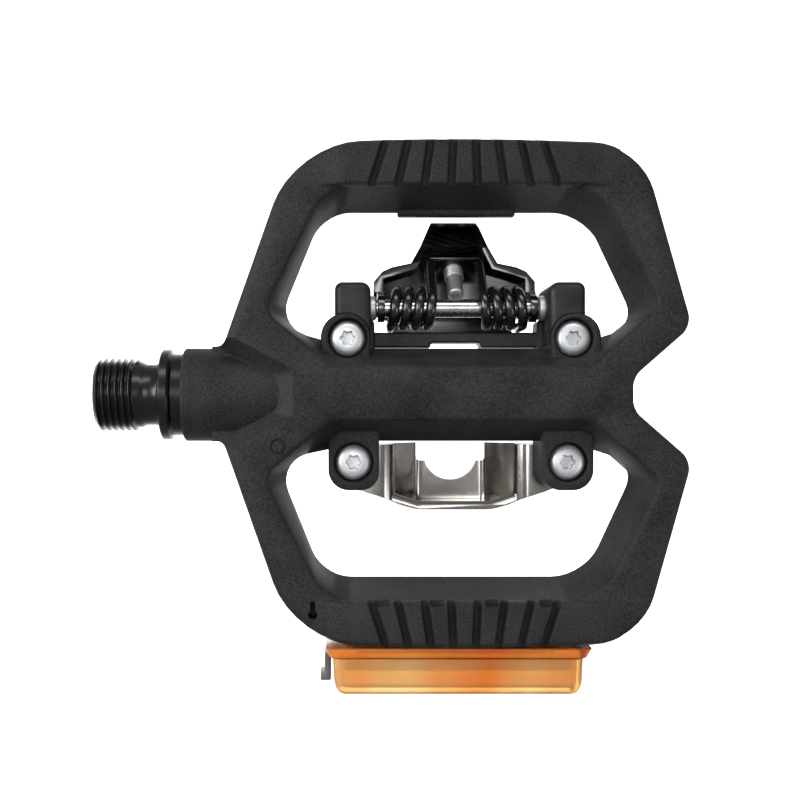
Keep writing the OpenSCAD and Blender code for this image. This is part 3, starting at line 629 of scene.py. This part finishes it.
mark = turned([(MARK_FLOOR, 1.15), (MARK_FLOOR, 1.45), (MARK_TOP, 1.5), (MARK_TOP, 1.1),
               (MARK_FLOOR, 1.15)], 32)
cage = boolean(cage, upright(mark, 23.1, -10.0), "DIFFERENCE")
finished(cage, "cage_moulding", "pedal_body", NYLON, 32)

# %% [markdown]
# ## The spindle
# The axle is turned from steel bar: thread, relief, flange, then the journals that run inside
# the cage. The thread is a V ridge that climbs 1.27 mm a turn, and a key fits the hexagon in
# the end.

# %% Spindle with its thread
PITCH = 1.27
CREST_R = 7.144
ROOT_R = 6.42
SPINDLE_END = -12.7
spindle_profile = [
    (SPINDLE_END, 0), (SPINDLE_END, 6.0), (-12.3, ROOT_R), (-3.9, ROOT_R), (-3.4, 6.15), (-3.0, 6.0),
    (-1.2, 6.0), (-0.5, 6.25), (0, 7.1), (0.02, 8.55), (0.3, 8.9), (1.7, 8.9), (2.1, 8.45), (2.1, 5.5),
    (5.5, 5.5), (5.5, 4.5), (18, 4.5), (44, 4.4), (44, 4.0), (54, 4.0), (54, 3.5),
    (59.2, 3.5), (59.8, 3.0), (59.8, 0),
]


def hexagon_key(corner_r, start, end):
    """A hexagon bar along X."""
    corners = [(corner_r * cos(radians(60 * k)), corner_r * sin(radians(60 * k)), 0) for k in range(6)]
    return moved(loft([(corners, start), (corners, end)]), turn=pi / 2, axis="Y")


socket = moved(hexagon_key(4.62, -7, 1), (SPINDLE_END, 0, 0))
spindle = boolean(turned(spindle_profile, 96), socket, "DIFFERENCE")
ridge = thread_ridge(-12.3, -4.6, ROOT_R, CREST_R, PITCH)
run_outs = turned([(SPINDLE_END, 0), (SPINDLE_END, 6.35), (-11.9, CREST_R + 0.02), (-5.1, CREST_R + 0.02),
                   (-3.9, 6.3), (-3.9, 0)])
ridge = boolean(ridge, run_outs, "INTERSECT")
finished(joined(spindle, ridge), "threaded_spindle", "spindle", BLACK_STEEL)

# %% [markdown]
# ## Screws
# The four fixing screws are pan heads with a six-lobe recess. The head is turned with a
# rounded shoulder, and the recess is one lofted star of six round lobes.


# %% Pan-head screws
def six_lobe(depth_from, depth_to, radius=1.75, waist=1.2):
    star = []
    for k in range(6):
        a = radians(60 * k)
        star.append((radius * cos(a), radius * sin(a), 0.32))
        star.append((waist * cos(a + pi / 6), waist * sin(a + pi / 6), 0.3))
    return loft([(grown(star, -0.15), depth_from), (star, depth_to)], 4)


def pan_screw(x, y, bottom):
    head = [(bottom, 0), (bottom, 1.75), (bottom + 0.4, 2.0), (HEAD_SEAT, 2.0), (HEAD_SEAT, 3.3), (2.5, 3.45),
            (3.2, 3.45), (3.75, 3.3), (4.15, 2.95), (4.4, 2.4), (4.5, 1.7), (4.5, 0)]
    screw = upright(turned(head, 64), x, y)
    return boolean(screw, moved(six_lobe(3.0, 5.2), (x, y, 0)), "DIFFERENCE")


front_pair = [pan_screw(MECH_X + side * FRONT_SCREW[0], FRONT_SCREW[1], -9.2) for side in (-1, 1)]
finished(joined(*front_pair), "front_claw_screws", "front_screws", ZINC)
rear_pair = [pan_screw(MECH_X + side * REAR_SCREW[0], REAR_SCREW[1], -9.5) for side in (-1, 1)]
finished(joined(*rear_pair), "rear_frame_screws", "rear_screws", ZINC)

# %% [markdown]
# ## Torsion springs
# Each spring is one wire: a straight foot on the frame's bar, three turns and a bit round the
# pin, and a straight leg along the tension bolt. A disc spun about the pin while it climbs makes
# the coil, and its two end faces are extruded into the legs.

# %% Springs
WIRE_R = 1.0
COIL_R = 3.4
BOLT_TILT = radians(43)
bolt_way = Vector((0, cos(BOLT_TILT), -sin(BOLT_TILT)))
COIL_TURN = pi / 2 + BOLT_TILT + 3 * 2 * pi
SPRING_X = (13.1, 5.0)
WIRE_SIDES = 14


def extruded_end(bm, face, way, length):
    """Pulls an end face of a wire out into a straight leg."""
    out = bmesh.ops.extrude_face_region(bm, geom=[face])
    verts = [g for g in out["geom"] if isinstance(g, bmesh.types.BMVert)]
    bmesh.ops.translate(bm, vec=way * length * MM, verts=verts)
    bmesh.ops.delete(bm, geom=[face], context="FACES_ONLY")


def torsion_spring():
    bm = bmesh.new()
    bmesh.ops.create_circle(bm, cap_ends=True, radius=WIRE_R * MM, segments=WIRE_SIDES)
    bmesh.ops.translate(bm, vec=mm(SPRING_X[0], PIN_Y - COIL_R, PIN_Z), verts=bm.verts[:])
    steps = 96
    bmesh.ops.spin(bm, geom=bm.faces[:] + bm.edges[:] + bm.verts[:], cent=mm(0, PIN_Y, PIN_Z),
                   axis=(-1, 0, 0), dvec=mm((SPRING_X[1] - SPRING_X[0]) / steps, 0, 0), angle=COIL_TURN,
                   steps=steps)
    ends = [f for f in bm.faces if len(f.verts) == WIRE_SIDES]
    foot = max(ends, key=lambda f: f.calc_center_median().x)
    leg = min(ends, key=lambda f: f.calc_center_median().x)
    extruded_end(bm, foot, Vector((0, 0, -1)), 6)
    extruded_end(bm, leg, bolt_way, 10)
    bmesh.ops.recalc_face_normals(bm, faces=bm.faces[:])
    return bm


spring = torsion_spring()
left = moved(mirrored(spring, about_x=0), (MECH_X, 0, 0))
finished(left, "left_torsion_spring", "left_spring", SPRING_BLACK)
finished(moved(spring, (MECH_X, 0, 0)), "right_torsion_spring", "right_spring", SPRING_BLACK)

# %% [markdown]
# ## The jaw, the claw and their small parts
# The jaw, the threaded plate, the latch and the lock nut have the right shapes in the packed
# frame. A copy of each gets its coplanar triangles joined and its edges broken, the way tumbling
# rounds them at the factory, because a plated edge shows by its bright rounding.

# %% Pieces with broken edges
finished(deburred("jaw", 0.6, 3, 14), "jaw_pressing", "jaw", DARK_NICKEL, 40)
finished(deburred("tension_nut", 0.3, 2), "tension_plate", "tension_nut", DARK_NICKEL, 40)
finished(deburred("reflector_latch", 0.25, 2), "latch_clip", "reflector_latch", LATCH_GREY, 40)
finished(deburred("spindle_lock_nut", 0.2, 2), "lock_nut", "spindle_lock_nut", ZINC, 40)

# %% [markdown]
# The claw is pressed from 3 mm plate. A strap dips down between the screws and back up, a hoop
# wall stands round its front, and the plate at the bottom has a round cut for the cleat's nose.
# All its bends have generous radii, because plate that is bent sharp cracks.

# %% Front claw
claw_low, claw_high = node_box("front_claw")
CLAW_TOP, CLAW_BOTTOM = claw_high.z, claw_low.z
CLAW_T = 3
LIP_TOP = CLAW_BOTTOM + 2.5
BELOW, ABOVE_CLAW = -22, -2  # the claw's cutters run between these heights


def both_ways(half):
    """A half outline from the middle out to +X, with its mirror image in front of it."""
    return [(-x, y, r) for x, y, r in reversed(half)] + half


strap = both_ways([(8.3, CLAW_BOTTOM, 3), (14.6, CLAW_TOP - CLAW_T, 1.5), (30, CLAW_TOP - CLAW_T, 0)])
strap += list(reversed(both_ways([(7.2, LIP_TOP, 2), (13.1, CLAW_TOP, 3.5), (30, CLAW_TOP, 0)])))
strap = moved(loft([(strap, 0), (strap, 25)], 6), turn=pi / 2, axis="X")
front_edge = [(7.6, -23.35, 8), (11, -22.45, 8), (13.5, -21.35, 5), (18.45, -19.75, 8)]
hoop_out = both_ways(front_edge + [(18.45, -13, 0)])
hoop_in = both_ways([(7.2, -21.45, 3), (10.5, -20.4, 3), (13.1, -19.45, 3), (18.6, -17.9, 3), (19, -5, 0)])
hoop = loft([(grown(hoop_out, 1), CLAW_BOTTOM), (grown(hoop_out, 1), CLAW_TOP - 1)])
inside = loft([(hoop_in, LIP_TOP), (hoop_in, CLAW_TOP - 1.7), (grown(hoop_in, 0.3), CLAW_TOP - 1.2),
               (grown(hoop_in, 0.9), CLAW_TOP - 0.9)])
hoop = boolean(hoop, inside, "DIFFERENCE")
plan = both_ways(front_edge + [(24.55, -17.15, 3), (24.55, -9.55, 1.5)])
edge = loft([(grown(plan, -0.7), CLAW_BOTTOM), (plan, CLAW_BOTTOM + 0.7), (plan, CLAW_TOP - 1.9),
             (grown(plan, -0.25), CLAW_TOP - 1.25), (grown(plan, -0.35), CLAW_TOP)])
claw = boolean(boolean(strap, hoop, "UNION"), edge, "INTERSECT")


def drill(x, y, radius, bottom, top, steps=32):
    """A cylinder along Z that cuts a round hole at this place."""
    return upright(turned([(bottom, 0), (bottom, radius), (top, radius), (top, 0)], steps), x, y)


claw = boolean(claw, drill(0, -11.8, 5.6, BELOW, ABOVE_CLAW, 64), "DIFFERENCE")
gap_plan = [(-7.2, -13.4, 0.8), (7.2, -13.4, 0.8), (7.2, 0, 0), (-7.2, 0, 0)]
claw = boolean(claw, loft([(gap_plan, BELOW), (gap_plan, ABOVE_CLAW)]), "DIFFERENCE")
for side in (-1, 1):
    hole = drill(side * FRONT_SCREW[0], FRONT_SCREW[1], 2.0, BELOW, ABOVE_CLAW)
    claw = boolean(claw, hole, "DIFFERENCE")
finished(moved(claw, (MECH_X, 0, 0)), "claw_pressing", "front_claw", CLAW_NICKEL, 30)

# %% [markdown]
# The frame is a casting: two upright cheeks that hold the pin, a foot under each, and a low bar
# between them. Each cheek stands round the cage's boss, so the boss is cut out of it.

# %% Rear frame
frame_low, frame_high = node_box("rear_frame")
FOOT_BOTTOM, CHEEK_TOP = frame_low.z, frame_high.z
CHEEK_IN, CHEEK_OUT = 17.3, 24.3
cheek_plan = [(CHEEK_IN, 9.25, 0.6), (CHEEK_OUT, 9.25, 0.6), (CHEEK_OUT, 21.8, 1.5), (CHEEK_IN, 21.8, 1.9)]
cheek = loft([(grown(cheek_plan, -0.4), FOOT_BOTTOM), (cheek_plan, FOOT_BOTTOM + 0.4),
              (cheek_plan, CHEEK_TOP - 1.1), (grown(cheek_plan, -0.35), CHEEK_TOP - 0.35),
              (grown(cheek_plan, -1.1), CHEEK_TOP)])
foot_plan = [(16.3, 8, 1), (25.3, 8, 1.5), (25.3, 15.2, 1.5), (16.3, 15.2, 1)]
foot = loft([(grown(foot_plan, -0.4), FOOT_BOTTOM + 0.01), (foot_plan, FOOT_BOTTOM + 0.4),
             (foot_plan, BOSS_BOTTOM - 0.4), (grown(foot_plan, -0.3), BOSS_BOTTOM - 0.05)])
cheek = boolean(cheek, foot, "UNION")
room = loft([(grown(boss_outline, 0.12), BOSS_BOTTOM), (grown(boss_outline, 0.12), 6)])
cheek = boolean(cheek, room, "DIFFERENCE")
cheek = boolean(cheek, drill(*REAR_SCREW, 2, -11, 0), "DIFFERENCE")
PIN_R = 1.8
pin_hole = turned([(CHEEK_IN - 1, 0), (CHEEK_IN - 1, PIN_R), (CHEEK_OUT - 1, PIN_R), (CHEEK_OUT - 1, 0)], 32)
pin_hole = moved(pin_hole, (0, PIN_Y, PIN_Z))
cheek = boolean(cheek, pin_hole, "DIFFERENCE")
bar_plan = [(-17.5, 9.6, 0), (-5, 9.6, 0.4), (-5, 10.6, 0.6), (5, 10.6, 0.6), (5, 9.6, 0.4), (17.5, 9.6, 0),
            (17.5, 12.7, 0), (-17.5, 12.7, 0)]
cross_bar = loft([(grown(bar_plan, -0.3), FOOT_BOTTOM), (bar_plan, FOOT_BOTTOM + 0.3), (bar_plan, -5.3),
                  (grown(bar_plan, -0.3), -5)])
casting = boolean(mirrored(cheek, about_x=0), cross_bar, "UNION")
casting = boolean(casting, cheek, "UNION")
finished(moved(casting, (MECH_X, 0, 0)), "rear_frame_casting", "rear_frame", BLACK_CAST, 40)

# %% Pin, collars and tension bolt
pin_end = pin_high.x - MECH_X
pin = turned([(-pin_end, 0), (-pin_end, 1.5), (-pin_end + 0.3, PIN_R), (pin_end - 0.3, PIN_R), (pin_end, 1.5),
              (pin_end, 0)], 48)
finished(moved(pin, (MECH_X, PIN_Y, PIN_Z)), "ground_jaw_pin", "jaw_pin", PIN_STEEL)
collar = [(16.0, PIN_R), (16.0, 2.05), (16.35, 2.45), (16.8, 2.5), (CHEEK_IN, 2.5), (CHEEK_IN, PIN_R)]


def ring(profile, steps=48):
    """A closed ring: a profile spun about X, joined end to end."""
    return turned(profile + profile[:1], steps)


collars = [ring(collar), ring([(-x, r) for x, r in collar])]
finished(moved(joined(*collars), (MECH_X, PIN_Y, PIN_Z)), "turned_collars", "pin_collars", ZINC)
bolt = turned([(0, 0), (0.0, 0.75), (0.05, 1.35), (0.3, 1.6), (4.3, 1.6), (4.7, 1.72), (14.9, 1.72),
               (14.9, 2.7), (15.1, 2.9), (16.9, 2.9), (17.3, 2.5), (17.3, 0)], 48)
bolt = boolean(bolt, turned([(-1, 0), (-1, 0.8), (1.4, 0.8), (1.4, 0)], 24), "DIFFERENCE")
bolt = boolean(bolt, moved(hexagon_key(1.73, 0, 4), (15.5, 0, 0)), "DIFFERENCE")
bolt = joined(bolt, thread_ridge(5.0, 14.6, 1.62, 1.98, 0.7, 24))
bolt = moved(bolt, turn=pi / 2, axis="Z")
bolt = moved(bolt, turn=-BOLT_TILT, axis="X")
finished(moved(bolt, (MECH_X, PIN_Y + 2.7, PIN_Z - 1.5)), "threaded_tension_bolt", "tension_bolt", ZINC)

# %% [markdown]
# ## The reflector
# The reflector is a base plate that clicks into the front bar, a field of prisms and a lens
# over them. The prisms are a grid of squares, each poked up into a small pyramid.

# %% Reflector
insert_low, insert_high = node_box("reflex_insert")
prisms = bmesh.new()
COLUMNS, ROWS = 22, 5
PRISM_ROOM = 0.9  # how far behind the insert's front the prisms' feet lie
bmesh.ops.create_grid(prisms, x_segments=COLUMNS, y_segments=ROWS, size=0.5)
size = insert_high - insert_low
bmesh.ops.scale(prisms, vec=mm(size.x, size.z, 0), verts=prisms.verts[:])
bmesh.ops.poke(prisms, faces=prisms.faces[:], offset=0.5 * MM, center_mode="MEAN")
rimmed = [e for e in prisms.edges if e.is_boundary]
out = bmesh.ops.extrude_edge_only(prisms, edges=rimmed)
skirt = [g for g in out["geom"] if isinstance(g, bmesh.types.BMVert)]
bmesh.ops.translate(prisms, vec=mm(0, 0, -(size.y - PRISM_ROOM)), verts=skirt)
bmesh.ops.holes_fill(prisms, edges=[e for e in prisms.edges if e.is_boundary])
bmesh.ops.recalc_face_normals(prisms, faces=prisms.faces[:])
middle = (insert_low + insert_high) / 2
moved(prisms, turn=pi / 2, axis="X")
moved(prisms, (middle.x, insert_low.y + PRISM_ROOM, middle.z))
finished(prisms, "prism_field", "reflex_insert", AMBER_PRISMS, 10)


def facing_front(solid, x, y, z):
    """Lays a loft down so that its height points to the front, towards -Y."""
    return moved(moved(solid, turn=pi / 2, axis="X"), (x, y, z))


def rounded_box(half_w, half_t, radius):
    return [(x * half_w, y * half_t, radius) for x, y in ((-1, -1), (1, -1), (1, 1), (-1, 1))]


lens_low, lens_high = node_box("reflector_lens")
base_low, base_high = node_box("reflector_carrier")
half_w = (lens_high.x - lens_low.x) / 2
half_t = (lens_high.z - lens_low.z) / 2
height = lens_high.y - lens_low.y
place = ((lens_low.x + lens_high.x) / 2, lens_high.y, (lens_low.z + lens_high.z) / 2)
side = rounded_box(half_w, half_t, 2.5)
shell = loft([(side, 0), (grown(side, -0.25), height - 2.4), (grown(side, -0.6), height - 1.2),
              (grown(side, -1.2), height - 0.4), (grown(side, -2.1), height)])
hollow = loft([(grown(side, -1.6), -0.5), (grown(side, -1.8), height - 2.2),
               (grown(side, -2.4), height - 1.6)])
lens_shell = facing_front(boolean(shell, hollow, "DIFFERENCE"), *place)
finished(lens_shell, "amber_lens", "reflector_lens", AMBER_LENS, 40)
PLATE_T = 2.2
rim = rounded_box((base_high.x - base_low.x) / 2, (base_high.z - base_low.z) / 2, 2)
plate = loft([(grown(rim, -0.2), 0), (rim, 0.25), (grown(rim, -0.9), 1.9), (grown(rim, -1.3), PLATE_T)])
plate = facing_front(plate, place[0], place[1] + PLATE_T, place[2])
tongue_plan = rounded_box(half_w - 5, 3.7, 0.4)
tongue = facing_front(loft([(tongue_plan, -3.1), (tongue_plan, 0.2)]), place[0], place[1] + PLATE_T, 0.5)
finished(boolean(plate, tongue, "UNION"), "amber_base", "reflector_carrier", AMBER_BASE, 40)

# %% [markdown]
# ## Pieces that keep the frame's shape
# The bearings, the sleeve and the seal are simple turned rings, and the frame's own solids are
# already right. They only get their materials.

# %% Carried-over pieces
for node, material in {
    "axle_sleeve": BLACK_SLEEVE, "lip_seal": SEAL_RUBBER, "needle_cup": BEARING_STEEL,
    "needle_rollers": BEARING_STEEL, "inner_races": BEARING_STEEL, "outer_races": BEARING_STEEL,
    "bearing_balls": BEARING_STEEL, "bearing_spacer": ZINC, "spindle_washer": ZINC,
}.items():
    cad[node].data.materials.clear()
    cad[node].data.materials.append(material)
    cad[node].data.shade_smooth()
    cad[node].data.set_sharp_from_angle(angle=radians(30))
print("carried over:", sum(not o.hide_render for o in cad.values()))

# %% [markdown]
# ## Stage, light and camera
# A product photographer hangs a small black object over a far white floor, so that its windows
# show clean white, and lights it with large soft boxes, most of it from the left. The camera
# looks almost straight down from about 21 cm.

# %% Floor and world
bpy.ops.mesh.primitive_plane_add(size=3, location=(0.05, 0, -0.6))
floor = bpy.context.object
floor.name = "floor"
paper, tree, shader, coords = start_material("pale_paper")
shader.inputs["Base Color"].default_value = (0.93, 0.93, 0.93, 1)
shader.inputs["Roughness"].default_value = 0.9
floor.data.materials.append(paper)
world = bpy.data.worlds.new("studio")
bpy.context.scene.world = world
world.use_nodes = True
world.node_tree.nodes["Background"].inputs["Color"].default_value = (0.9, 0.92, 0.95, 1)
world.node_tree.nodes["Background"].inputs["Strength"].default_value = 0.33
bpy.context.scene.view_settings.view_transform = "Standard"


# %% Lights
def soft_box(name, place, aim, size, power):
    light = bpy.data.lights.new(name, "AREA")
    light.shape, light.size, light.size_y, light.energy = "RECTANGLE", size[0], size[1], power
    lamp = bpy.data.objects.new(name, light)
    lamp.location = place
    lamp.rotation_euler = (Vector(aim) - Vector(place)).to_track_quat("-Z", "Y").to_euler()
    lamp.visible_camera = False
    bpy.context.scene.collection.objects.link(lamp)


soft_box("left_box", (-0.3, 0.08, 0.2), (0.05, 0, 0), (0.16, 0.4), 1.9)
soft_box("top_box", (0.1, 0.4, 0.28), (0.05, 0, 0), (0.5, 0.14), 1.0)
soft_box("right_strip", (0.42, -0.1, 0.2), (0.05, 0, 0), (0.08, 0.4), 0.5)
soft_box("over_camera", (0.02, 0.06, 0.6), (0.05, 0, 0), (0.2, 0.2), 0.7)
soft_box("floor_box", (0.04, 0, -0.12), (0.04, 0, -0.6), (0.7, 0.7), 9)

# %% Camera
lens = bpy.data.cameras.new("camera")
lens.lens = 49.2
lens.shift_x = 0.079
lens.shift_y = 0.0312
lens.clip_start = 0.01
camera = bpy.data.objects.new("camera", lens)
CAMERA_HEIGHT = 215
camera.location = mm(34.1, -5.94, CAMERA_HEIGHT)
bpy.context.scene.collection.objects.link(camera)
bpy.context.scene.camera = camera
